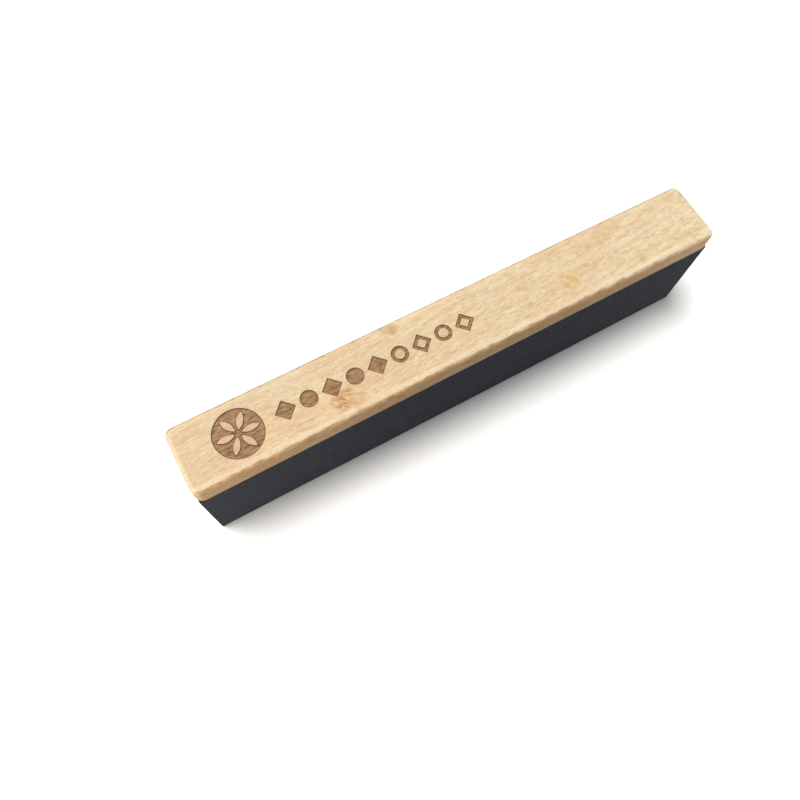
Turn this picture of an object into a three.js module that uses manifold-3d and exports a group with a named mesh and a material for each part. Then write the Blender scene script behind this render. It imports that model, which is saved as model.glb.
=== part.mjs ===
// A long chalkboard eraser: a beech back glued on top of a tall felt block.
//
// The block is built up from lengthwise felt strips that stand on edge, with a film of
// adhesive in each seam between them and a sheet of adhesive between block and back.
//
// Millimetres, +Z up.  The origin is the centre of the wiping face at the bottom of the
// felt, +X runs along the eraser and +Y runs across it.  The front is the -Y side.

import * as THREE from 'three';
import { mergeVertices } from 'three/addons/utils/BufferGeometryUtils.js';
import Module from 'manifold-3d';

// ---------------------------------------------------------------- driving dimensions

const LENGTH = 250;
const TOTAL_HEIGHT = 58;

const BACK_WIDTH = 30;
const BACK_THICKNESS = 10;
const CORNER_RADIUS = 3.5; // the back's four upright corners, seen from above
const ROUND_OVER = 2.2; // radius of the rounded edge all round the back's top

const STRIP_COUNT = 5;
const STRIP_THICKNESS = 5.75;
const STRIP_EDGE_RADIUS = 0.75; // worn lower edges of each strip
const PAD_END_INSET = 0.375; // the felt stops this far short of the back at each end

const SEAM_THICKNESS = 0.25; // adhesive film between two strips
const SEAM_SETBACK = 1; // the film stops this far above the wiping face and inside the ends
const MOUNT_THICKNESS = 0.5; // adhesive sheet between the felt block and the back
const MOUNT_SETBACK = 0.5; // the sheet stops this far inside the block's edges

const ENGRAVING_DEPTH = 0.4;
const ROUNDEL_X = -99.6;
const ROUNDEL_RADIUS = 10.4;
const PETAL_COUNT = 6;
const PETAL_START = 1.5; // distance from the roundel's centre to a petal's inner tip
const PETAL_LENGTH = 7.5;
const PETAL_WIDTH = 2.7;
const FIGURE_COUNT = 9; // the row of lozenges and discs beside the roundel
const FILLED_COUNT = 5; // this many are filled, and the rest are outlines
const FIRST_FIGURE_X = -79.6;
const FIGURE_PITCH = 10.25;
const LOZENGE_HALF = 4.5; // half of a lozenge's diagonals
const DISC_RADIUS = 3.7;
const OUTLINE_WIDTH = 1.5;

// ---------------------------------------------------------------- derived dimensions

const BACK_BOTTOM = TOTAL_HEIGHT - BACK_THICKNESS;
const STRIP_HEIGHT = BACK_BOTTOM - MOUNT_THICKNESS;
const STRIP_PITCH = STRIP_THICKNESS + SEAM_THICKNESS;
const PAD_LENGTH = LENGTH - 2 * PAD_END_INSET;
const PAD_WIDTH = STRIP_COUNT * STRIP_PITCH - SEAM_THICKNESS;

// ---------------------------------------------------------------- materials

const beechMaterial = new THREE.MeshStandardMaterial({ color: 0xe6cca0, roughness: 0.55, metalness: 0 });
const feltMaterial = new THREE.MeshStandardMaterial({ color: 0x37383e, roughness: 0.95, metalness: 0 });
const adhesiveMaterial = new THREE.MeshStandardMaterial({ color: 0x1c1a19, roughness: 0.5, metalness: 0 });

// ---------------------------------------------------------------- helpers

// Extrudes a section drawn as (across, up) along X, centred on the middle of the eraser.
function alongX(section, length) {
  const geometry = new THREE.ExtrudeGeometry(section, {
    depth: length,
    curveSegments: 4,
    bevelEnabled: false,
  });
  geometry.translate(0, 0, -length / 2);
  const sectionToPart = new THREE.Matrix4().makeBasis(
    new THREE.Vector3(0, 1, 0),
    new THREE.Vector3(0, 0, 1),
    new THREE.Vector3(1, 0, 0),
  );
  return geometry.applyMatrix4(sectionToPart);
}

function toManifold(geometry, wasm) {
  const bare = geometry.clone();
  bare.deleteAttribute('normal');
  bare.deleteAttribute('uv');
  const merged = mergeVertices(bare);
  return new wasm.Manifold(new wasm.Mesh({
    numProp: 3,
    vertProperties: Float32Array.from(merged.attributes.position.array),
    triVerts: Uint32Array.from(merged.index.array),
  }));
}

function toGeometry(manifold) {
  const mesh = manifold.getMesh();
  const geometry = new THREE.BufferGeometry();
  geometry.setAttribute('position', new THREE.BufferAttribute(mesh.vertProperties, 3));
  geometry.setIndex(new THREE.BufferAttribute(mesh.triVerts, 1));
  geometry.computeVertexNormals();
  return geometry;
}

function namedMesh(name, geometry, material) {
  const mesh = new THREE.Mesh(geometry, material);
  mesh.name = name;
  return mesh;
}

// ---------------------------------------------------------------- engraved ornament

// A petal is the lens between two equal arcs that meet at its two tips.
function petalPath(angle) {
  const halfLength = PETAL_LENGTH / 2;
  const halfWidth = PETAL_WIDTH / 2;
  const arcRadius = (halfLength ** 2 + halfWidth ** 2) / (2 * halfWidth);
  const halfSweep = Math.asin(halfLength / arcRadius);
  const middle = PETAL_START + halfLength;
  const side = arcRadius - halfWidth;
  const path = new THREE.Path();
  for (const turn of [-1, 1]) {
    const centreX = ROUNDEL_X + middle * Math.cos(angle) + turn * side * Math.sin(angle);
    const centreY = middle * Math.sin(angle) - turn * side * Math.cos(angle);
    const facing = angle + turn * Math.PI / 2;
    path.absarc(centreX, centreY, arcRadius, facing - halfSweep, facing + halfSweep, false);
  }
  return path;
}

function roundelShape() {
  const shape = new THREE.Shape();
  shape.absarc(ROUNDEL_X, 0, ROUNDEL_RADIUS, 0, 2 * Math.PI, false);
  for (let petal = 0; petal < PETAL_COUNT; petal += 1) {
    shape.holes.push(petalPath((2 * Math.PI * petal) / PETAL_COUNT));
  }
  return shape;
}

function drawLozenge(path, x, half) {
  path.moveTo(x + half, 0);
  path.lineTo(x, half);
  path.lineTo(x - half, 0);
  path.lineTo(x, -half);
  path.closePath();
}

function drawDisc(path, x, radius) {
  path.absarc(x, 0, radius, 0, 2 * Math.PI, false);
}

function figureShape(index) {
  const x = FIRST_FIGURE_X + index * FIGURE_PITCH;
  const isLozenge = index % 2 === 0;
  const draw = isLozenge ? drawLozenge : drawDisc;
  const size = isLozenge ? LOZENGE_HALF : DISC_RADIUS;
  const shape = new THREE.Shape();
  draw(shape, x, size);
  if (index >= FILLED_COUNT) {
    const hole = new THREE.Path();
    const wall = isLozenge ? OUTLINE_WIDTH * Math.SQRT2 : OUTLINE_WIDTH;
    draw(hole, x, size - wall);
    shape.holes.push(hole);
  }
  return shape;
}

function ornamentShapes() {
  const shapes = [roundelShape()];
  for (let index = 0; index < FIGURE_COUNT; index += 1) {
    shapes.push(figureShape(index));
  }
  return shapes;
}

// ---------------------------------------------------------------- pieces

// The back seen from above: a long rectangle with rounded corners.
function backOutline() {
  const endX = LENGTH / 2 - CORNER_RADIUS;
  const sideY = BACK_WIDTH / 2 - CORNER_RADIUS;
  const quarter = Math.PI / 2;
  const outline = new THREE.Shape();
  outline.absarc(endX, -sideY, CORNER_RADIUS, -quarter, 0, false);
  outline.absarc(endX, sideY, CORNER_RADIUS, 0, quarter, false);
  outline.absarc(-endX, sideY, CORNER_RADIUS, quarter, 2 * quarter, false);
  outline.absarc(-endX, -sideY, CORNER_RADIUS, 2 * quarter, 3 * quarter, false);
  outline.closePath();
  return outline;
}

// The blank is rounded above and below, and is one thickness too deep, so that a flat cut
// at the bottom of the back leaves only the rounded top.
function backBlank(wasm) {
  const blank = new THREE.ExtrudeGeometry(backOutline(), {
    depth: 2 * BACK_THICKNESS - 2 * ROUND_OVER,
    curveSegments: 5,
    bevelThickness: ROUND_OVER,
    bevelSize: ROUND_OVER,
    bevelOffset: -ROUND_OVER,
    bevelSegments: 7,
  });
  blank.translate(0, 0, TOTAL_HEIGHT - 2 * BACK_THICKNESS + ROUND_OVER);
  const waste = new THREE.BoxGeometry(2 * LENGTH, 2 * BACK_WIDTH, 2 * BACK_THICKNESS);
  waste.translate(0, 0, BACK_BOTTOM - BACK_THICKNESS);
  return toManifold(blank, wasm).subtract(toManifold(waste, wasm));
}

// The back: rounded corners, a rounded edge all round the top and an engraved ornament.
function beechBack(wasm) {
  let solid = backBlank(wasm);
  for (const shape of ornamentShapes()) {
    const cutter = new THREE.ExtrudeGeometry(shape, {
      depth: 2 * ENGRAVING_DEPTH,
      curveSegments: 16,
      bevelEnabled: false,
    });
    cutter.translate(0, 0, TOTAL_HEIGHT - ENGRAVING_DEPTH);
    solid = solid.subtract(toManifold(cutter, wasm));
  }
  return namedMesh('beech_back', toGeometry(solid), beechMaterial);
}

function mountingAdhesive() {
  const sheet = new THREE.BoxGeometry(
    PAD_LENGTH - 2 * MOUNT_SETBACK,
    PAD_WIDTH - 2 * MOUNT_SETBACK,
    MOUNT_THICKNESS,
  );
  const mesh = namedMesh('mounting_adhesive', sheet, adhesiveMaterial);
  mesh.position.z = BACK_BOTTOM - MOUNT_THICKNESS / 2;
  return mesh;
}

function feltStrip(index) {
  const half = STRIP_THICKNESS / 2;
  const radius = STRIP_EDGE_RADIUS;
  const section = new THREE.Shape();
  section.absarc(half - radius, radius, radius, -Math.PI / 2, 0, false);
  section.lineTo(half, STRIP_HEIGHT);
  section.lineTo(-half, STRIP_HEIGHT);
  section.absarc(-half + radius, radius, radius, Math.PI, 1.5 * Math.PI, false);
  section.closePath();
  const mesh = namedMesh(`felt_strip_${index + 1}`, alongX(section, PAD_LENGTH), feltMaterial);
  mesh.position.y = (index - (STRIP_COUNT - 1) / 2) * STRIP_PITCH;
  return mesh;
}

function seamAdhesive(index) {
  const film = new THREE.BoxGeometry(
    PAD_LENGTH - 2 * SEAM_SETBACK,
    SEAM_THICKNESS,
    STRIP_HEIGHT - SEAM_SETBACK,
  );
  const mesh = namedMesh(`seam_adhesive_${index + 1}`, film, adhesiveMaterial);
  mesh.position.y = (index - (STRIP_COUNT - 2) / 2) * STRIP_PITCH;
  mesh.position.z = (STRIP_HEIGHT + SEAM_SETBACK) / 2;
  return mesh;
}

// ---------------------------------------------------------------- assembly

const wasm = await Module();
wasm.setup();

const eraser = new THREE.Group();
eraser.name = 'chalkboard_eraser';
eraser.add(beechBack(wasm));
eraser.add(mountingAdhesive());
for (let index = 0; index < STRIP_COUNT; index += 1) {
  eraser.add(feltStrip(index));
}
for (let index = 0; index < STRIP_COUNT - 1; index += 1) {
  eraser.add(seamAdhesive(index));
}

export default eraser;
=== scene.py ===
"""Looks of a long chalkboard eraser: an engraved beech back on a tall block of charcoal felt.

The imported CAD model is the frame, in metres: X runs along the eraser, -Y is its front and +Z is up.
Places and outer sizes come from the CAD nodes.  The ornament and the fine shapes are set here.
"""

import math

import bmesh
import bpy
import numpy as np
from mathutils import Matrix, Vector, geometry, noise


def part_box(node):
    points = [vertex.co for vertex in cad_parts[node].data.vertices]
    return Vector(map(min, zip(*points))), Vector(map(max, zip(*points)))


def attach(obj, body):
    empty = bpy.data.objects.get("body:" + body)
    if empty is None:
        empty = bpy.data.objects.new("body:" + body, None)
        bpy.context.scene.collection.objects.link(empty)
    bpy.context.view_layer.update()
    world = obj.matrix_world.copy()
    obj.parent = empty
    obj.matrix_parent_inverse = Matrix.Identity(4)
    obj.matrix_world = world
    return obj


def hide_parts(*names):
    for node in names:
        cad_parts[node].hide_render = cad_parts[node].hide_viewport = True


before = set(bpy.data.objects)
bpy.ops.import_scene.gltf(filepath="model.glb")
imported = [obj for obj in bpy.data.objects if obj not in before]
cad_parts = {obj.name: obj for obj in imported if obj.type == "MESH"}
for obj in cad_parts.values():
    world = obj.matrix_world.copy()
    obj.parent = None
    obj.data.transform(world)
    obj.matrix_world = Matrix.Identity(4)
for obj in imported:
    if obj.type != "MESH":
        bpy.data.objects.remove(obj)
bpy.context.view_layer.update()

# ---------------------------------------------------------------- driving dimensions

MM = 0.001

BACK_LOW, BACK_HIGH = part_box("beech_back")
END_X, EDGE_Y, TOP_Z = BACK_HIGH / MM  # the back's high corner, for textures in millimetres
STRIP_COUNT = 5

CORNER_RADIUS = 3.5 * MM  # the back's upright corners
CORNER_SEGMENTS = 10
ROUND_OVER = 2.2 * MM  # the rounded edge all round the back's top
ROUND_OVER_SEGMENTS = 12
LOWER_EASE = 0.2 * MM  # the sanded lower edge of the back
LOWER_EASE_SEGMENTS = 4
OUTLINE_STEP = 0.9 * MM
MERGE_DISTANCE = 0.002 * MM  # points closer than this are one point
FLAT_BORDER = 0.4 * MM  # the flat top's border beside the round-over
TOP_STEP = 3 * MM  # between the loose points on the plain part of the top
EDGE_MARGIN = 1 * MM  # how far those points stay from the border
PLAIN_MARGIN = 1.2 * MM  # and from the engraving
SANDING_DEPTH = 0.07 * MM  # how far hand sanding dips below the true surface
SANDING_PITCH = 5 * MM
SANDING_STRETCH = 2.5  # its waves are this many times longer along the back

ROUNDEL_X = -99.6 * MM
ROUNDEL_RADIUS = 10.4 * MM
PETAL_COUNT = 6
PETAL_START = 1.5 * MM
PETAL_LENGTH = 7.5 * MM
PETAL_WIDTH = 2.7 * MM
FIGURE_COUNT = 9
FILLED_COUNT = 5
FIRST_FIGURE_X = -79.6 * MM
FIGURE_PITCH = 10.25 * MM
LOZENGE_HALF = 4.5 * MM
DISC_RADIUS = 3.7 * MM
OUTLINE_WIDTH = 1.5 * MM
ORNAMENT_END = FIRST_FIGURE_X + (FIGURE_COUNT - 1) * FIGURE_PITCH + LOZENGE_HALF

# The engraving's wall: distances inward from the drawn outline, and the depth at each.
WALL_INSETS = np.array((-0.5, -0.05, 0.0, 0.07, 0.15)) * MM
WALL_DEPTHS = np.array((0.0, 0.0, 0.06, 0.34, 0.4)) * MM
WALL_STEP = 0.25 * MM
ENGRAVED_STEP = 0.42 * MM  # between the loose points on the engraving's floor
ENGRAVED_MARGIN = 0.2 * MM  # how far those points stay from the wall's foot
SMOOTH_MARGIN = 0.1 * MM  # the floor is smooth this close to the wall's foot
ENGRAVED_ROUGHNESS = 0.07 * MM
ENGRAVED_PITCH = 0.8 * MM
ENGRAVED_STRETCH = 4
HALO_REACH = 1 * MM  # distances to the engraving are kept up to this far outside it

FELT_STEP = 0.9 * MM
FELT_STEP_ACROSS = 0.55 * MM
HIDDEN_STEP = 6 * MM  # on felt faces that other strips cover
FELT_EDGE_LINES = np.array((0.12, 0.3, 0.6, 1.0, 1.5)) * MM
FELT_LOWER_RADIUS = 1.5 * MM  # worn lower edges of the whole block
STRIP_EDGE_RADIUS = 0.3 * MM
FELT_NAP = 0.16 * MM  # height of the felt's soft unevenness
NAP_WAVES = ((0.65, 6 * MM), (0.35, 1.4 * MM))  # share and pitch of each size of unevenness

GLUE_STEPS = (1.2 * MM, 1.5 * MM)  # along and across the sheet
GLUE_EDGE_LINES = np.array((0.1, 0.25, 0.5)) * MM
GLUE_LAYERS = 5
GLUE_BULGE = 0.3 * MM
BULGE_PITCH = 7 * MM

CAMERA_PLACE = Vector((-96.36, -100.54, 318.24)) * MM
CAMERA_FORWARD = Vector((0.20864, 0.29731, -0.93170))
CAMERA_UP = Vector((0.44189, 0.82152, 0.36034))
CAMERA_LENS = 31.785
SENSOR_WIDTH = 36.0

OVERHEAD_POWER = 4.08
OVERHEAD_SPREAD = math.radians(28)
OVERHEAD_DIRECTION = Vector((0.22, -0.19, -1))
OVERHEAD_COLOUR = (1, 0.985, 0.96)
# The fills: name, place, target and size in metres, power in watts, and colour.
SOFTBOXES = (
    ("fill_left", (-0.28, -0.16, 0.06), (-0.12, 0, 0.04), 0.08, 0.56, (1, 0.95, 0.91)),
    ("fill_right", (0.26, -0.14, 0.045), (0.12, 0, 0.04), 0.08, 0.27, (1, 0.97, 0.94)),
    ("fill_rear", (0, 0.5, 0.16), (0, 0, 0.04), 0.4, 1.0, (0.97, 0.98, 1)),
)
SKY_COLOUR = (1, 0.97, 0.93)
SKY_STRENGTH = 0.06

STAGE_RADIUS = 6  # of the floor and of the dome round it, in metres
PAPER_GREYS = (0.825, 0.835)  # the floor's darkest and palest reflectance
BOUNCE_GREYS = (0.34, 0.36)
BOUNCE_DROP = 0.5 * MM  # how far the bounce sheet lies under the floor
BACKDROP_COLOUR = (0.96, 0.97, 1)
BACKDROP_GLOW = 0.93


# ---------------------------------------------------------------- camera, lights and floor


def add_object(name, data):
    thing = bpy.data.objects.new(name, data)
    bpy.context.scene.collection.objects.link(thing)
    return thing


def aim_matrix(place, forward, up):
    """A camera or light at a place, looking along forward, with up towards the picture's top."""
    back = -forward.normalized()
    right = up.cross(back).normalized()
    axes = Matrix((right, back.cross(right), back)).transposed()
    return Matrix.Translation(place) @ axes.to_4x4()


def add_camera():
    data = bpy.data.cameras.new("camera")
    data.lens = CAMERA_LENS
    data.sensor_width = SENSOR_WIDTH
    data.clip_start = 0.01
    data.clip_end = 20
    camera = add_object("camera", data)
    camera.matrix_world = aim_matrix(CAMERA_PLACE, CAMERA_FORWARD, CAMERA_UP)
    bpy.context.scene.camera = camera


def add_overhead_light():
    """A wide soft light from far overhead, so that the whole floor is lit evenly."""
    data = bpy.data.lights.new("overhead", "SUN")
    data.energy = OVERHEAD_POWER
    data.angle = OVERHEAD_SPREAD
    data.color = OVERHEAD_COLOUR
    light = add_object("overhead", data)
    light.matrix_world = aim_matrix(Vector((0, 0, 2)), OVERHEAD_DIRECTION, Vector((0, 1, 0)))


def add_softbox(name, place, target, size, power, colour):
    data = bpy.data.lights.new(name, "AREA")
    data.shape = "SQUARE"
    data.size = size
    data.energy = power
    data.color = colour
    light = add_object(name, data)
    light.visible_camera = False
    place = Vector(place)
    light.matrix_world = aim_matrix(place, Vector(target) - place, Vector((0, 0.3, 1)))


def add_lights():
    """A wide soft light overhead, a weak sky, and fills at both ends and behind."""
    add_overhead_light()
    for softbox in SOFTBOXES:
        add_softbox(*softbox)
    world = bpy.data.worlds.new("studio")
    world.use_nodes = True
    background = world.node_tree.nodes["Background"]
    background.inputs["Color"].default_value = (*SKY_COLOUR, 1)
    background.inputs["Strength"].default_value = SKY_STRENGTH
    bpy.context.scene.world = world
    bpy.context.scene.view_settings.view_transform = "Standard"


def add_stage_disc(name, height):
    mesh = bmesh.new()
    bmesh.ops.create_circle(mesh, cap_ends=True, segments=96, radius=STAGE_RADIUS)
    bmesh.ops.translate(mesh, verts=mesh.verts, vec=(0, 0, height))
    data = bpy.data.meshes.new(name)
    mesh.to_mesh(data)
    mesh.free()
    disc = add_object(name, data)
    return disc


def add_paper(disc, greys):
    """Matt paper on a stage disc, with a faint cloud in it."""
    dark, pale = greys
    paper = Shader(f"{disc.name}_paper")
    cloud = paper.noise(paper.scaled(0.004), detail=2)
    paper.surface_input("Base Color", paper.blend(cloud, (dark, dark, dark), (pale, pale, pale)))
    paper.surface_input("Roughness", 0.9)
    paper.surface_input("Specular IOR Level", 0.1)
    disc.data.materials.append(paper.material)


def add_floor():
    """White paper for the camera, and a greyer sheet under it that throws the light back.

    The white paper lets light through both ways, so only the grey sheet lights the eraser's
    sides, which keeps them in soft shade.
    """
    floor = add_stage_disc("floor", 0)
    for rays in ("diffuse", "glossy", "shadow"):
        setattr(floor, f"visible_{rays}", False)
    add_paper(floor, PAPER_GREYS)
    sheet = add_stage_disc("bounce_sheet", -BOUNCE_DROP)
    sheet.visible_camera = False
    add_paper(sheet, BOUNCE_GREYS)


def add_backdrop():
    """A pale dome round the floor that only the camera sees, so that it adds no light."""
    mesh = bmesh.new()
    bmesh.ops.create_uvsphere(mesh, u_segments=64, v_segments=32, radius=STAGE_RADIUS)
    data = bpy.data.meshes.new("backdrop")
    mesh.to_mesh(data)
    mesh.free()
    dome = add_object("backdrop", data)
    for rays in ("diffuse", "glossy", "transmission", "volume_scatter", "shadow"):
        setattr(dome, f"visible_{rays}", False)
    paper = Shader("backdrop_paper")
    paper.surface_input("Base Color", (0, 0, 0))
    paper.surface_input("Emission Color", BACKDROP_COLOUR)
    paper.surface_input("Emission Strength", BACKDROP_GLOW)
    dome.data.materials.append(paper.material)


# ---------------------------------------------------------------- node helper


class Shader:
    """A material's nodes, with one short call for each kind.  Texture places are in millimetres."""

    def __init__(self, name):
        self.material = bpy.data.materials.new(name)
        self.material.use_nodes = True
        self.tree = self.material.node_tree
        self.surface = self.tree.nodes["Principled BSDF"]
        self.coordinates = self.tree.nodes.new("ShaderNodeTexCoord")

    def connect(self, value, socket):
        """Links a node's output to a socket, or sets the socket to a plain value."""
        if isinstance(value, bpy.types.NodeSocket):
            self.tree.links.new(value, socket)
        elif isinstance(value, (tuple, list, Vector)) and len(socket.default_value) == 4:
            socket.default_value = (*value, 1)
        else:
            socket.default_value = value

    def surface_input(self, name, value):
        self.connect(value, self.surface.inputs[name])

    def scaled(self, *per_mm):
        """Object coordinates in millimetres, times one factor or one for each axis."""
        factors = per_mm * 3 if len(per_mm) == 1 else per_mm
        return self.vector("MULTIPLY", self.coordinates.outputs["Object"], [f / MM for f in factors])

    def place(self, axis):
        """The place along X, Y or Z, in millimetres."""
        return self.split(self.scaled(1))[axis]

    def facing(self, axis):
        """How far the surface faces along X, Y or Z, from -1 to 1."""
        return self.split(self.coordinates.outputs["Normal"])[axis]

    def vector(self, operation, a, b=None):
        node = self.tree.nodes.new("ShaderNodeVectorMath")
        node.operation = operation
        self.connect(a, node.inputs[0])
        if b is not None:
            self.connect(b, node.inputs[1])
        return node.outputs["Value" if operation == "LENGTH" else "Vector"]

    def math(self, operation, a, b=0.0):
        node = self.tree.nodes.new("ShaderNodeMath")
        node.operation = operation
        self.connect(a, node.inputs[0])
        self.connect(b, node.inputs[1])
        return node.outputs[0]

    def combine(self, x, y, z):
        node = self.tree.nodes.new("ShaderNodeCombineXYZ")
        for socket, value in zip(node.inputs, (x, y, z)):
            self.connect(value, socket)
        return node.outputs[0]

    def split(self, vector):
        node = self.tree.nodes.new("ShaderNodeSeparateXYZ")
        self.connect(vector, node.inputs[0])
        return node.outputs

    def turned(self, vector, angles):
        node = self.tree.nodes.new("ShaderNodeVectorRotate")
        node.rotation_type = "EULER_XYZ"
        self.connect(vector, node.inputs["Vector"])
        node.inputs["Rotation"].default_value = angles
        return node.outputs[0]

    def noise(self, vector, detail=2.0, roughness=0.5, distortion=0.0):
        node = self.tree.nodes.new("ShaderNodeTexNoise")
        self.connect(vector, node.inputs["Vector"])
        node.inputs["Scale"].default_value = 1
        node.inputs["Detail"].default_value = detail
        node.inputs["Roughness"].default_value = roughness
        node.inputs["Distortion"].default_value = distortion
        return node.outputs["Fac"]

    def cells(self, vector):
        """Distance to the nearest of many scattered points, and a random value for that point."""
        node = self.tree.nodes.new("ShaderNodeTexVoronoi")
        self.connect(vector, node.inputs["Vector"])
        node.inputs["Scale"].default_value = 1
        return node.outputs["Distance"], self.split(node.outputs["Color"])[0]

    def ramp(self, value, start, end, low=0.0, high=1.0):
        """Goes smoothly from low to high as value goes from start to end."""
        node = self.tree.nodes.new("ShaderNodeMapRange")
        node.interpolation_type = "SMOOTHSTEP"
        for socket, number in zip(node.inputs, (value, start, end, low, high)):
            self.connect(number, socket)
        return node.outputs[0]

    def blend(self, share, a, b, kind="MIX"):
        """Colour a turning into colour b, or a tinted by b, as share goes from 0 to 1."""
        node = self.tree.nodes.new("ShaderNodeMix")
        node.data_type = "RGBA"
        node.blend_type = kind
        self.connect(share, node.inputs[0])
        self.connect(a, node.inputs[6])
        self.connect(b, node.inputs[7])
        return node.outputs[2]

    def attribute(self, name):
        node = self.tree.nodes.new("ShaderNodeAttribute")
        node.attribute_name = name
        return node.outputs["Fac"]

    def bump(self, height, depth_mm):
        """Height from 0 to 1 becomes relief of the given depth."""
        node = self.tree.nodes.new("ShaderNodeBump")
        node.inputs["Strength"].default_value = 1
        node.inputs["Distance"].default_value = depth_mm * MM
        self.connect(height, node.inputs["Height"])
        self.surface_input("Normal", node.outputs[0])


# ---------------------------------------------------------------- beech material

# The tree, in millimetres.  Its centre line runs along X, behind the back and below it.
PITH_Y = 58.0
PITH_Z = -6.0
PITH_DISTANCE = 92  # about how far the back is from the pith
RING_WIDTH = 2.6
RING_DRIFT = 0.02  # how far the rings move for each step along the back
GRAIN_SLOPE = 0.05  # how far the grain drifts across the back for each step along it
GRAIN_SWAY = 12  # reach of the grain's long bends
GRAIN_RIPPLE = 2.2  # reach of its short ones
RAY_LENGTH = 4.0
RAY_WIDTH = 0.64
RAY_DEPTH = 9.0

# Beech colours, as linear red, green and blue.
BEECH_LEFT = (0.555, 0.405, 0.242)
BEECH_RIGHT = (0.64, 0.545, 0.37)
BEECH_REAR = (0.63, 0.54, 0.385)
BEECH_FAR_RIGHT = (0.71, 0.64, 0.51)
CLOUD_COLOUR = (0.655, 0.52, 0.30)
BLUSH_COLOUR = (0.60, 0.40, 0.245)
LATEWOOD_COLOUR = (0.46, 0.31, 0.16)
STREAK_COLOUR = (0.71, 0.575, 0.375)
FIGURE_COLOUR = (0.46, 0.315, 0.165)
PALE_RAY_COLOUR = (0.75, 0.625, 0.43)
DARK_RAY_COLOUR = (0.40, 0.25, 0.115)
FINE_RAY_COLOUR = (0.36, 0.22, 0.11)
# painted highlight along the long top edges
PAINTED_EDGE_HIGHLIGHT = (0.73, 0.60, 0.41)
CHIP_COLOUR = (0.40, 0.26, 0.13)
# painted highlight on the rounded ends
PAINTED_END_HIGHLIGHT = (0.66, 0.58, 0.44)
# painted shade on the front and rear sides
PAINTED_SIDE_SHADE = (0.72, 0.62, 0.515)
GRIME_COLOUR = (0.22, 0.13, 0.075)
END_TINT = (0.90, 0.81, 0.72)
END_PIT_COLOUR = (0.22, 0.13, 0.06)

# The knots: centre on the top and size in millimetres, and the colours of the patch and its strokes.
KNOTS = (
    ((-55, -8), (16, 11), (0.53, 0.335, 0.17), (0.35, 0.165, 0.065)),
    ((53, -3.5), (12, 8), (0.56, 0.40, 0.18), (0.36, 0.22, 0.085)),
    ((-27.5, 12), (9, 5), (0.45, 0.325, 0.155), (0.34, 0.22, 0.10)),
)
KNOT_DEPTH = 10  # how deep they go, in millimetres
KNOT_SLANT = math.radians(42)
KNOT_GLEAM = (0.69, 0.50, 0.31)  # their pale strokes

# The scorched engraving: two browns in its floor, a redder patch, its rim of char and painted shade at
# the wall's foot, and the halo round it.
SCORCH_DARK = (0.145, 0.080, 0.032)
SCORCH_PALE = (0.385, 0.25, 0.145)
SCORCH_WARM = (0.31, 0.15, 0.075)
# the engraving's rim: laser char with painted shade at the wall's foot
SCORCH_RIM_AND_SHADE = (0.115, 0.06, 0.022)
SCORCH_HALO = (0.42, 0.25, 0.11)

# Where the colours change on the back, and the relief of its grain, in millimetres.
REAR_BLEND = (-10, 14)  # across the back, from the front's colour to the rear's
FAR_RIGHT_REACH = 50  # how far in from the right end its paler colour reaches
EDGE_BAND_START = 4.0  # how far in from the long edges the painted highlight and the chips start
EDGE_BAND_FULL = 2.6  # and where they are full
EDGE_BAND_FADE = (-5, 8)  # across the back, from full painted highlight and chips at the front to weak at the rear
WOOD_RELIEF = 0.06


def grain_places(wood):
    """Places in the tree: along the grain, round the pith and out from it, in millimetres."""
    sway = wood.noise(wood.scaled(0.012, 0.03, 0.03), detail=1)
    ripple = wood.noise(wood.scaled(0.075, 0.12, 0.12), detail=1)
    x, y, z = wood.split(wood.scaled(1))[:3]
    across = wood.math("SUBTRACT", y, PITH_Y)
    for bend, reach in ((sway, GRAIN_SWAY), (ripple, GRAIN_RIPPLE)):
        across = wood.math("ADD", across, wood.math("MULTIPLY", wood.math("SUBTRACT", bend, 0.5), reach))
    across = wood.math("SUBTRACT", across, wood.math("MULTIPLY", x, GRAIN_SLOPE))
    upward = wood.math("SUBTRACT", z, PITH_Z)
    round_pith = wood.math("MULTIPLY", wood.math("ARCTAN2", across, upward), PITH_DISTANCE)
    out = wood.vector("LENGTH", wood.combine(0, across, upward))
    return wood.combine(x, round_pith, out)


def ray_flecks(wood, grain, size, shift):
    """Short spindles along the grain where the wood's rays are cut, each of its own strength."""
    lengths = (RAY_LENGTH * size, RAY_WIDTH * size, RAY_DEPTH * size)
    places = wood.vector("DIVIDE", grain, lengths)
    nearness, luck = wood.cells(wood.vector("ADD", places, (shift, shift, shift)))
    return wood.math("MULTIPLY", wood.ramp(nearness, 0.48, 0.3), wood.ramp(luck, 0, 0.8, 0.15, 1))


def board_colour(wood):
    """Beech that grows paler to the right and the rear, with soft clouds and a blush in it."""
    along, backward = wood.place(0), wood.place(1)
    cloud = wood.noise(wood.scaled(0.02, 0.07, 0.07), detail=3)
    blush = wood.noise(wood.scaled(0.04, 0.11, 0.11), detail=2, distortion=0.6)
    colour = wood.blend(wood.ramp(along, -END_X, END_X), BEECH_LEFT, BEECH_RIGHT)
    colour = wood.blend(wood.ramp(backward, *REAR_BLEND, 0, 0.5), colour, BEECH_REAR)
    far_right = wood.ramp(along, END_X - FAR_RIGHT_REACH, END_X, 0, 0.6)
    colour = wood.blend(far_right, colour, BEECH_FAR_RIGHT)
    colour = wood.blend(wood.ramp(cloud, 0.35, 0.68, 0, 0.75), colour, CLOUD_COLOUR)
    return wood.blend(wood.ramp(blush, 0.42, 0.68, 0, 0.85), colour, BLUSH_COLOUR)


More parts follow.
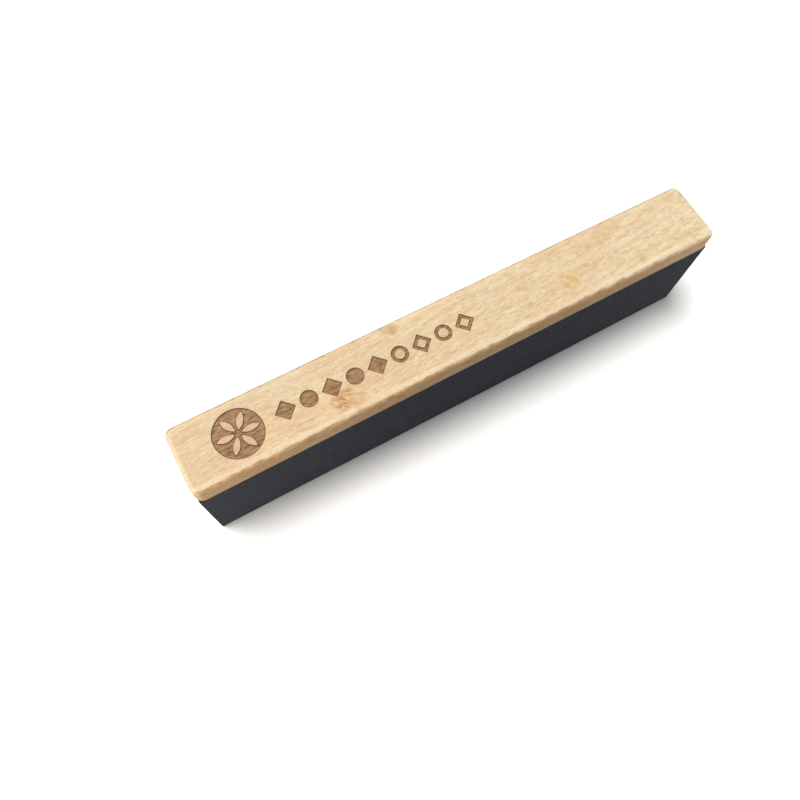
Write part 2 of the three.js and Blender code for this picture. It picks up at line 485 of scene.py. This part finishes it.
def grained(wood, colour, grain, streaks, dark_rays):
    """Adds growth rings, streaks, a soft figure and the ray flecks."""
    along, _, out = wood.split(grain)[:3]
    drifted = wood.math("ADD", out, wood.math("MULTIPLY", along, RING_DRIFT))
    rings = wood.math("PINGPONG", drifted, RING_WIDTH / 2)
    latewood = wood.ramp(rings, RING_WIDTH * 0.2, RING_WIDTH * 0.5)
    figure = wood.noise(wood.vector("MULTIPLY", grain, (0.11, 0.85, 0.2)), detail=2, roughness=0.55)
    colour = wood.blend(wood.math("MULTIPLY", latewood, 0.2), colour, LATEWOOD_COLOUR)
    colour = wood.blend(wood.ramp(streaks, 0.3, 0.75, 0, 0.4), colour, STREAK_COLOUR)
    colour = wood.blend(wood.ramp(figure, 0.38, 0.62, 0.32, 0), colour, FIGURE_COLOUR)
    for flecks, share, fleck_colour in (
        (ray_flecks(wood, grain, 0.8, 41.3), 0.35, PALE_RAY_COLOUR),
        (dark_rays, 0.38, DARK_RAY_COLOUR),
        (ray_flecks(wood, grain, 0.45, 77.7), 0.3, FINE_RAY_COLOUR),
    ):
        colour = wood.blend(wood.math("MULTIPLY", flecks, share), colour, fleck_colour)
    return colour


def knotted(wood, colour, centre, size, patch_colour, stroke_colour):
    """Adds a knot: an uneven patch with slanting strokes in it, dark and pale."""
    offset = wood.vector("SUBTRACT", wood.scaled(1), (*centre, TOP_Z))
    shares = wood.vector("MULTIPLY", offset, (2 / size[0], 2 / size[1], 1 / KNOT_DEPTH))
    distance = wood.vector("LENGTH", shares)
    wander = wood.noise(wood.scaled(0.16), detail=2, distortion=0.6)
    uneven = wood.math("ADD", distance, wood.math("MULTIPLY", wood.math("SUBTRACT", wander, 0.5), 1.8))
    share = wood.math("MULTIPLY", wood.ramp(uneven, 1.2, 0.6), wood.ramp(distance, 1.5, 1))
    slanted = wood.turned(wood.scaled(1), (0, 0, KNOT_SLANT))
    strokes = wood.noise(wood.vector("MULTIPLY", slanted, (0.16, 0.34, 0.2)), detail=3, distortion=1.6)
    dark = wood.math("MULTIPLY", share, wood.ramp(strokes, 0.46, 0.64, 0, 0.75))
    pale = wood.math("MULTIPLY", share, wood.ramp(strokes, 0.44, 0.32, 0, 0.6))
    colour = wood.blend(wood.math("MULTIPLY", share, 0.85), colour, patch_colour)
    colour = wood.blend(dark, colour, stroke_colour)
    return wood.blend(pale, colour, KNOT_GLEAM)


def edge_highlights_and_chips(wood, colour):
    """Adds chipped long edges with a painted highlight along them, mostly at the front, and a painted
    highlight on the rounded ends.
    """
    backward = wood.place(1)
    near_edge = wood.ramp(wood.math("ABSOLUTE", backward), EDGE_Y - EDGE_BAND_START, EDGE_Y - EDGE_BAND_FULL)
    edge_band = wood.math("MULTIPLY", near_edge, wood.ramp(wood.facing(2), 0.8, 0.93))
    edge_band = wood.math("MULTIPLY", edge_band, wood.ramp(backward, *EDGE_BAND_FADE, 1, 0.3))
    end_highlight = wood.ramp(wood.math("ABSOLUTE", wood.facing(0)), 0.15, 0.45, 0, 0.35)
    scars = wood.noise(wood.scaled(0.45, 0.9, 0.9), detail=2, roughness=0.7)
    chips = wood.math("MULTIPLY", edge_band, wood.ramp(scars, 0.58, 0.72, 0, 0.5))
    # painted highlight: a pale band along the long top edges, mostly at the front
    colour = wood.blend(wood.math("MULTIPLY", edge_band, 0.45), colour, PAINTED_EDGE_HIGHLIGHT)
    # painted highlight on the rounded ends
    colour = wood.blend(end_highlight, colour, PAINTED_END_HIGHLIGHT)
    return wood.blend(chips, colour, CHIP_COLOUR)


def scorched(wood, colour, distance, inside):
    """Adds the laser's brown floor, its darker rim of char and painted shade along the wall's foot, and a
    faint halo, by distance to the outline.
    """
    halo = wood.ramp(distance, 0.45, 0.0, 0, 0.35)
    rim_char_and_shade = wood.ramp(distance, -0.6, -0.1)
    mottle = wood.noise(wood.scaled(0.28, 1.3, 1.3), detail=3, roughness=0.65)
    warmth = wood.noise(wood.scaled(0.12, 0.3, 0.3), detail=2)
    floor = wood.blend(wood.ramp(mottle, 0.34, 0.66), SCORCH_DARK, SCORCH_PALE)
    floor = wood.blend(wood.ramp(warmth, 0.4, 0.65, 0, 0.4), floor, SCORCH_WARM)
    # darker rim at the wall's foot: laser char with painted shade
    floor = wood.blend(wood.math("MULTIPLY", rim_char_and_shade, 0.8), floor, SCORCH_RIM_AND_SHADE)
    return wood.blend(inside, wood.blend(halo, colour, SCORCH_HALO), floor)


def painted_side_shade_and_grime(wood, colour):
    """Painted shade on the front and rear sides, uneven at their upper edge, and the grime of hands on
    them.
    """
    shade_and_grime_blotches = wood.noise(wood.scaled(0.2, 0.5, 0.5), detail=2, roughness=0.6)
    uneven = wood.ramp(shade_and_grime_blotches, 0.3, 0.7, -0.18, 0.18)
    # painted shade: the sides darken as they turn to face along Y, unevenly at their upper edge
    side = wood.ramp(wood.math("ADD", wood.math("ABSOLUTE", wood.facing(1)), uneven), 0.35, 0.8)
    grime = wood.math("MULTIPLY", side, wood.ramp(shade_and_grime_blotches, 0.5, 0.72, 0, 0.45))
    colour = wood.blend(side, colour, PAINTED_SIDE_SHADE, "MULTIPLY")
    return wood.blend(grime, colour, GRIME_COLOUR)


def end_grained(wood, colour, end_grain):
    """Darkens the sawn ends and adds the pits of their open pores."""
    speckle = wood.noise(wood.scaled(0.5, 5, 5), detail=2)
    pits = wood.math("MULTIPLY", end_grain, wood.ramp(speckle, 0.5, 0.7, 0, 0.5))
    colour = wood.blend(end_grain, colour, END_TINT, "MULTIPLY")
    return wood.blend(pits, colour, END_PIT_COLOUR)


def beech_material():
    """Pale beech: soft growth rings, ray flecks, knots, wear and a scorched engraving."""
    wood = Shader("beech")
    grain = grain_places(wood)
    streaks = wood.noise(wood.vector("MULTIPLY", grain, (0.05, 1.9, 1.9)), detail=4, roughness=0.62)
    dark_rays = ray_flecks(wood, grain, 1, 0)
    distance = wood.math("DIVIDE", wood.attribute("engraving_distance"), MM)
    inside = wood.ramp(distance, 0.02, -0.03)
    end_grain = wood.ramp(wood.math("ABSOLUTE", wood.facing(0)), 0.75, 0.99)

    colour = grained(wood, board_colour(wood), grain, streaks, dark_rays)
    for knot in KNOTS:
        colour = knotted(wood, colour, *knot)
    colour = edge_highlights_and_chips(wood, colour)
    colour = scorched(wood, colour, distance, inside)
    colour = painted_side_shade_and_grime(wood, colour)
    wood.surface_input("Base Color", end_grained(wood, colour, end_grain))

    dull = wood.math("ADD", wood.math("MULTIPLY", inside, 0.3), wood.math("MULTIPLY", end_grain, 0.2))
    wood.surface_input("Roughness", wood.math("ADD", wood.ramp(streaks, 0.2, 0.8, 0.52, 0.64), dull))
    wood.surface_input("Specular IOR Level", 0.25)
    wood.bump(wood.math("SUBTRACT", streaks, wood.math("MULTIPLY", dark_rays, 0.5)), WOOD_RELIEF)
    return wood.material


# ---------------------------------------------------------------- felt and adhesive materials

FIBRE_TURNS = ((0, 0.35, 0.5), (0, 1.13, -0.6), (0, 1.92, 0.4), (0, 2.7, -0.5))
FIBRE_SCALE = (0.45, 3.3, 3.3)  # how often the noise repeats for each millimetre, along and across
FELT_DARK = (0.028, 0.031, 0.038)
FELT_PALE = (0.068, 0.076, 0.093)
CLUMP_DARK = (0.024, 0.026, 0.032)
CLUMP_PALE = (0.070, 0.074, 0.086)
LINT_COLOUR = (0.12, 0.125, 0.14)
SHEEN_COLOUR = (0.75, 0.8, 0.9)
FELT_RELIEF = 0.22

GLUE_DARK = (0.012, 0.010, 0.009)
GLUE_PALE = (0.032, 0.026, 0.022)
GLUE_RELIEF = 0.1


def matted_fibres(felt):
    """Fibres that run every way: the highest of several long-grained noises."""
    mat = None
    for number, turn in enumerate(FIBRE_TURNS):
        lengthwise = felt.vector("MULTIPLY", felt.turned(felt.scaled(1), turn), FIBRE_SCALE)
        shifted = felt.vector("ADD", lengthwise, (17 * number, 5, 3))
        fibres = felt.noise(shifted, detail=3, roughness=0.65, distortion=1.2)
        mat = fibres if mat is None else felt.math("MAXIMUM", mat, fibres)
    return mat


def felt_material():
    """Dense charcoal felt: matted fibres, slightly clumped, with a little lint and a soft sheen."""
    felt = Shader("charcoal_felt")
    mat = matted_fibres(felt)
    clumps = felt.noise(felt.scaled(0.35), detail=4, roughness=0.6)
    lint = felt.noise(felt.scaled(1.6, 2.3, 1.9), detail=1, distortion=2.5)
    colour = felt.blend(felt.ramp(mat, 0.5, 0.8), FELT_DARK, FELT_PALE)
    colour = felt.blend(felt.ramp(clumps, 0.5, 0.34, 0, 0.26), colour, CLUMP_DARK)
    colour = felt.blend(felt.ramp(clumps, 0.5, 0.66, 0, 0.26), colour, CLUMP_PALE)
    colour = felt.blend(felt.ramp(lint, 0.72, 0.8, 0, 0.35), colour, LINT_COLOUR)
    felt.surface_input("Base Color", colour)
    felt.surface_input("Roughness", 0.95)
    felt.surface_input("Specular IOR Level", 0.03)
    felt.surface_input("Sheen Weight", 0.02)
    felt.surface_input("Sheen Roughness", 0.6)
    felt.surface_input("Sheen Tint", SHEEN_COLOUR)
    felt.bump(felt.math("ADD", mat, felt.math("MULTIPLY", clumps, 0.5)), FELT_RELIEF)
    return felt.material


def adhesive_material():
    """Dark contact adhesive with a slightly wavy, half-dull skin."""
    glue = Shader("contact_adhesive")
    waves = glue.noise(glue.scaled(0.9), detail=3)
    glue.surface_input("Base Color", glue.blend(waves, GLUE_DARK, GLUE_PALE))
    glue.surface_input("Roughness", glue.ramp(waves, 0.3, 0.7, 0.4, 0.65))
    glue.bump(waves, GLUE_RELIEF)
    return glue.material


# ---------------------------------------------------------------- mesh helpers

SHARP_ANGLE = math.radians(32)  # edges sharper than this stay sharp when the mesh is shaded


def unevenness(position, pitch, octaves=3):
    """Soft random height, about 0 to 1, in waves that are about a pitch long."""
    return 0.5 + 0.5 * noise.fractal(position / pitch, 1, 2, octaves, noise_basis="PERLIN_ORIGINAL")


def finish_piece(name, mesh, material, node):
    """Turns a bmesh into a piece that stands for a CAD node and rides on the eraser's body."""
    data = bpy.data.meshes.new(name)
    mesh.to_mesh(data)
    mesh.free()
    data.shade_smooth()
    data.set_sharp_from_angle(angle=SHARP_ANGLE)
    data.materials.append(material)
    piece = add_object(name, data)
    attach(piece, "root")
    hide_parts(node)
    return piece


def grid_lines(low, high, step, edge_lines):
    """Grid lines about a step apart from low to high, and finer ones at set distances from both ends."""
    inner_low, inner_high = low + edge_lines[-1], high - edge_lines[-1]
    count = max(1, round((inner_high - inner_low) / step))
    middle = np.linspace(inner_low, inner_high, count + 1)
    edge = np.array((0, *edge_lines[:-1]))
    return np.concatenate((low + edge, middle, high - edge[::-1]))


def grid_box(lines):
    """A closed box of quads with grid lines at the given places on X, Y and Z."""
    mesh = bmesh.new()
    corners = {}
    last = [len(line) - 1 for line in lines]

    def corner(key):
        if key not in corners:
            corners[key] = mesh.verts.new([line[i] for line, i in zip(lines, key)])
        return corners[key]

    for axis in range(3):
        u, v = (axis + 1) % 3, (axis + 2) % 3
        for side in (0, last[axis]):
            for a in range(last[u]):
                for b in range(last[v]):
                    loop = []
                    for step_u, step_v in ((0, 0), (1, 0), (1, 1), (0, 1)):
                        key = [0, 0, 0]
                        key[axis], key[u], key[v] = side, a + step_u, b + step_v
                        loop.append(corner(tuple(key)))
                    mesh.faces.new(loop if side else loop[::-1])
    return mesh


def round_edge(position, first, second, radius):
    """Rounds the edge where two walls meet.  Each wall is an axis, its place and its outward sign."""
    reach = []
    for axis, place, sign in (first, second):
        reach.append((position[axis] - place) * sign + radius)
    if min(reach) <= 0:
        return
    shrink = max(reach) / math.hypot(*reach)
    for (axis, place, sign), distance in zip((first, second), reach):
        position[axis] = place + sign * (distance * shrink - radius)


# ---------------------------------------------------------------- beech back's mesh


def sampled_arc(centre, radius, start, end, count):
    angles = np.linspace(start, end, count + 1)
    return np.column_stack((centre[0] + radius * np.cos(angles), centre[1] + radius * np.sin(angles)))


def back_outline(inset):
    """The back seen from above, drawn in by inset.  Its points match from one inset to the next."""
    corner_x = BACK_HIGH.x - CORNER_RADIUS
    corner_y = BACK_HIGH.y - CORNER_RADIUS
    centres = ((corner_x, corner_y), (-corner_x, corner_y), (-corner_x, -corner_y), (corner_x, -corner_y))
    arcs = []
    for number, centre in enumerate(centres):
        start = number * math.pi / 2
        end = start + math.pi / 2
        arcs.append(sampled_arc(centre, CORNER_RADIUS - inset, start, end, CORNER_SEGMENTS))
    outline = []
    for number, arc in enumerate(arcs):
        following = arcs[(number + 1) % 4][0]
        count = round((2 * corner_x if number % 2 == 0 else 2 * corner_y) / OUTLINE_STEP)
        shares = np.linspace(0, 1, count + 1)[1:-1, None]
        outline += [arc, arc[-1] * (1 - shares) + following * shares]
    return np.concatenate(outline)


def back_profile():
    """Pairs of inset and height, from the foot of the back's side to the flat top's border."""
    profile = []
    for angle in np.linspace(0, math.pi / 2, LOWER_EASE_SEGMENTS + 1):
        height = BACK_LOW.z + LOWER_EASE * (1 - math.cos(angle))
        profile.append((LOWER_EASE * (1 - math.sin(angle)), height))
    for angle in np.linspace(0, math.pi / 2, ROUND_OVER_SEGMENTS + 1):
        height = BACK_HIGH.z - ROUND_OVER * (1 - math.sin(angle))
        profile.append((ROUND_OVER * (1 - math.cos(angle)), height))
    profile.append((ROUND_OVER + FLAT_BORDER, BACK_HIGH.z))
    return profile


class Disc:
    """A round figure on the top's centre line."""

    def __init__(self, x, radius):
        self.x, self.radius = x, radius

    def distance(self, points):
        """Signed distance to the outline, negative inside."""
        return np.hypot(points[:, 0] - self.x, points[:, 1]) - self.radius

    def loop(self, inset):
        """The outline's points, drawn in by inset."""
        count = round(2 * math.pi * self.radius / WALL_STEP)
        return sampled_arc((self.x, 0), self.radius - inset, 0, 2 * math.pi, count)[:-1]


class Lozenge:
    """A square on its tip on the top's centre line, given by half its diagonal."""

    def __init__(self, x, half):
        self.x, self.half = x, half

    def distance(self, points):
        return (np.abs(points[:, 0] - self.x) + np.abs(points[:, 1]) - self.half) / math.sqrt(2)

    def loop(self, inset):
        half = self.half - inset * math.sqrt(2)
        tips = np.array(((half, 0), (0, half), (-half, 0), (0, -half))) + (self.x, 0)
        count = round(self.half * math.sqrt(2) / WALL_STEP)
        shares = np.linspace(0, 1, count + 1)[:-1, None]
        return np.concatenate([tips[i - 1] * (1 - shares) + tips[i] * shares for i in range(4)])


class Petal:
    """The lens between two equal arcs, pointing out from the roundel's middle."""

    def __init__(self, angle):
        half_length, half_width = PETAL_LENGTH / 2, PETAL_WIDTH / 2
        self.angle = angle
        self.radius = (half_length**2 + half_width**2) / (2 * half_width)
        self.side = self.radius - half_width
        middle = PETAL_START + half_length
        outward = np.array((math.cos(angle), math.sin(angle)))
        sideways = np.array((math.sin(angle), -math.cos(angle)))
        base = np.array((ROUNDEL_X, 0)) + middle * outward
        self.centres = [base - self.side * sideways, base + self.side * sideways]

    def distance(self, points):
        reaches = [np.hypot(*(points - centre).T) - self.radius for centre in self.centres]
        return np.maximum(*reaches)

    def loop(self, inset):
        radius = self.radius - inset
        sweep = math.acos(self.side / radius)
        count = round(PETAL_LENGTH / WALL_STEP)
        arcs = []
        for centre, turn in zip(self.centres, (-1, 1)):
            facing = self.angle + turn * math.pi / 2
            arcs.append(sampled_arc(centre, radius, facing - sweep, facing + sweep, count)[:-1])
        return np.concatenate(arcs)


def ornament():
    """Engraved areas, each as its outline and the reserved outlines left standing inside it."""
    petals = [Petal(2 * math.pi * number / PETAL_COUNT) for number in range(PETAL_COUNT)]
    areas = [(Disc(ROUNDEL_X, ROUNDEL_RADIUS), petals)]
    for number in range(FIGURE_COUNT):
        x = FIRST_FIGURE_X + number * FIGURE_PITCH
        kind, size, wall = Disc, DISC_RADIUS, OUTLINE_WIDTH
        if number % 2 == 0:
            kind, size, wall = Lozenge, LOZENGE_HALF, OUTLINE_WIDTH * math.sqrt(2)
        reserved = [] if number < FILLED_COUNT else [kind(x, size - wall)]
        areas.append((kind(x, size), reserved))
    return areas


def engraving_distance(points, areas):
    """Signed distance to the nearest engraved outline, negative where the wood is engraved."""
    nearest = np.full(len(points), np.inf)
    for outer, reserved in areas:
        distance = outer.distance(points)
        for island in reserved:
            distance = np.maximum(distance, -island.distance(points))
        nearest = np.minimum(nearest, distance)
    return nearest


def fill_points(low, high, step):
    """A triangular grid of points over a rectangle."""
    rows = []
    for number, y in enumerate(np.arange(low[1], high[1], step * math.sqrt(3) / 2)):
        xs = np.arange(low[0] + (number % 2) * step / 2, high[0], step)
        rows.append(np.column_stack((xs, np.full(len(xs), y))))
    return np.concatenate(rows)


def triangulate(loops, loose):
    """Triangles inside closed loops, through loose points: the points, and each triangle's corners."""
    points, edges = [], []
    for loop in loops:
        first = len(points)
        points += [Vector(p / MM) for p in loop]
        edges += [(first + i, first + (i + 1) % len(loop)) for i in range(len(loop))]
    points += [Vector(p / MM) for p in loose]
    keep_inside, tolerance = 1, 1e-5
    result = geometry.delaunay_2d_cdt(points, edges, [], keep_inside, tolerance)
    return np.array([tuple(p) for p in result[0]]) * MM, result[2]


def back_top(areas, edge_inset):
    """The flat top and its engraved outlines, as points and triangles, all still at one height."""
    edge = back_outline(edge_inset)
    loops = [edge]
    for outer, reserved in areas:
        for inset in WALL_INSETS:
            loops.append(outer.loop(inset))
            loops += [island.loop(-inset) for island in reserved if inset > WALL_INSETS[0]]
    plain = fill_points(edge.min(0) + EDGE_MARGIN, edge.max(0) - EDGE_MARGIN, TOP_STEP)
    plain = plain[engraving_distance(plain, areas) > PLAIN_MARGIN]
    ornament_low = (ROUNDEL_X - ROUNDEL_RADIUS, -ROUNDEL_RADIUS)
    engraved = fill_points(ornament_low, (ORNAMENT_END, ROUNDEL_RADIUS), ENGRAVED_STEP)
    engraved = engraved[engraving_distance(engraved, areas) < -WALL_INSETS[-1] - ENGRAVED_MARGIN]
    return triangulate(loops, np.concatenate((plain, engraved)))


def back_surface(areas):
    """The closed surface of the back, with its engraving still flat."""
    mesh = bmesh.new()
    profile = back_profile()
    rings = []
    for inset, height in profile:
        rings.append([mesh.verts.new((x, y, height)) for x, y in back_outline(inset)])
    for lower, upper in zip(rings, rings[1:]):
        for i in range(len(lower)):
            mesh.faces.new((lower[i - 1], lower[i], upper[i], upper[i - 1]))
    for points, faces, height in (
        (*back_top(areas, profile[-1][0]), BACK_HIGH.z),
        (*triangulate([back_outline(profile[0][0])], []), BACK_LOW.z),
    ):
        corners = [mesh.verts.new((x, y, height)) for x, y in points]
        for face in faces:
            mesh.faces.new([corners[i] for i in face])
    bmesh.ops.remove_doubles(mesh, verts=mesh.verts, dist=MERGE_DISTANCE)
    bmesh.ops.recalc_face_normals(mesh, faces=mesh.faces)
    mesh.normal_update()
    return mesh


def engraved_dip(position, distance):
    """How deep the engraving is at a place on the top, with its floor a little rough."""
    dip = float(np.interp(-distance, WALL_INSETS, WALL_DEPTHS))
    if distance < -WALL_INSETS[-1] - SMOOTH_MARGIN:
        along_grain = Vector((position.x / ENGRAVED_STRETCH, position.y, 0))
        dip += ENGRAVED_ROUGHNESS * (unevenness(along_grain, ENGRAVED_PITCH, 2) - 0.5)
    return dip


def beech_back(material):
    """The engraved wooden back, rounded at its corners and all round its top."""
    areas = ornament()
    mesh = back_surface(areas)
    distances = engraving_distance(np.array([vertex.co[:2] for vertex in mesh.verts]), areas)
    layer = mesh.verts.layers.float.new("engraving_distance")
    for vertex, distance in zip(mesh.verts, distances):
        vertex[layer] = min(float(distance), HALO_REACH)
    for vertex, distance in zip(mesh.verts, distances):
        if vertex.co.z < BACK_LOW.z + LOWER_EASE:
            continue
        along_grain = Vector((vertex.co.x / SANDING_STRETCH, vertex.co.y, vertex.co.z))
        dip = SANDING_DEPTH * unevenness(along_grain, SANDING_PITCH)
        if vertex.co.z > BACK_HIGH.z - MERGE_DISTANCE:
            vertex.co.z -= dip + engraved_dip(vertex.co, distance)
        else:
            vertex.co -= vertex.normal * dip
    finish_piece("wooden_back", mesh, material, "beech_back")


# ---------------------------------------------------------------- felt and adhesive meshes


def felt_strip(number, material):
    """One strip of felt on edge.  Its faces towards other pieces stay flat, and the rest is soft."""
    node = f"felt_strip_{number}"
    low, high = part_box(node)
    outer_side = {1: -1, STRIP_COUNT: 1}.get(number, 0)
    mesh = grid_box([
        grid_lines(low.x, high.x, FELT_STEP, FELT_EDGE_LINES),
        grid_lines(low.y, high.y, FELT_STEP_ACROSS, FELT_EDGE_LINES),
        grid_lines(low.z, high.z, FELT_STEP if outer_side else HIDDEN_STEP, FELT_EDGE_LINES),
    ])
    mesh.normal_update()
    foot = (2, low.z, -1)
    sides = ((1, low.y, -1), (1, high.y, 1))
    for vertex in mesh.verts:
        normal = vertex.normal.copy()
        for end in ((0, low.x, -1), (0, high.x, 1)):
            for side in sides:
                round_edge(vertex.co, end, side, STRIP_EDGE_RADIUS)
            round_edge(vertex.co, end, foot, FELT_LOWER_RADIUS)
        for side in sides:
            radius = FELT_LOWER_RADIUS if side[2] == outer_side else STRIP_EDGE_RADIUS
            round_edge(vertex.co, side, foot, radius)
        if normal.y * outer_side <= 0:
            normal.y = 0
        normal.z = min(normal.z, 0)
        nap = sum(share * unevenness(vertex.co, pitch, 2) for share, pitch in NAP_WAVES)
        vertex.co -= normal * FELT_NAP * nap
    piece = finish_piece(f"felt_layer_{number}", mesh, material, node)


def glue_sheet(material):
    """The mounting adhesive, whose edge swells unevenly in the joint between felt and wood."""
    low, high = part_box("mounting_adhesive")
    mesh = grid_box([
        grid_lines(low.x, high.x, GLUE_STEPS[0], GLUE_EDGE_LINES),
        grid_lines(low.y, high.y, GLUE_STEPS[1], GLUE_EDGE_LINES),
        np.linspace(low.z, high.z, GLUE_LAYERS + 1),
    ])
    middle = (low.z + high.z) / 2
    for vertex in mesh.verts:
        fullness = 1 - ((vertex.co.z - middle) / (high.z - middle)) ** 2
        bulge = GLUE_BULGE * max(fullness, 0) * unevenness(vertex.co, BULGE_PITCH)
        for axis in (0, 1):
            reach = abs(vertex.co[axis]) / high[axis]
            if reach > 0.9999:
                vertex.co[axis] += math.copysign(bulge, vertex.co[axis])
    finish_piece("glue_sheet", mesh, material, "mounting_adhesive")


# ---------------------------------------------------------------- the whole scene


add_camera()
add_lights()
add_floor()
add_backdrop()

beech_back(beech_material())
felt = felt_material()
for strip in range(1, STRIP_COUNT + 1):
    felt_strip(strip, felt)
adhesive = adhesive_material()
glue_sheet(adhesive)
for film in range(1, STRIP_COUNT):
    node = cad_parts[f"seam_adhesive_{film}"]
    node.data.materials.clear()
    node.data.materials.append(adhesive)
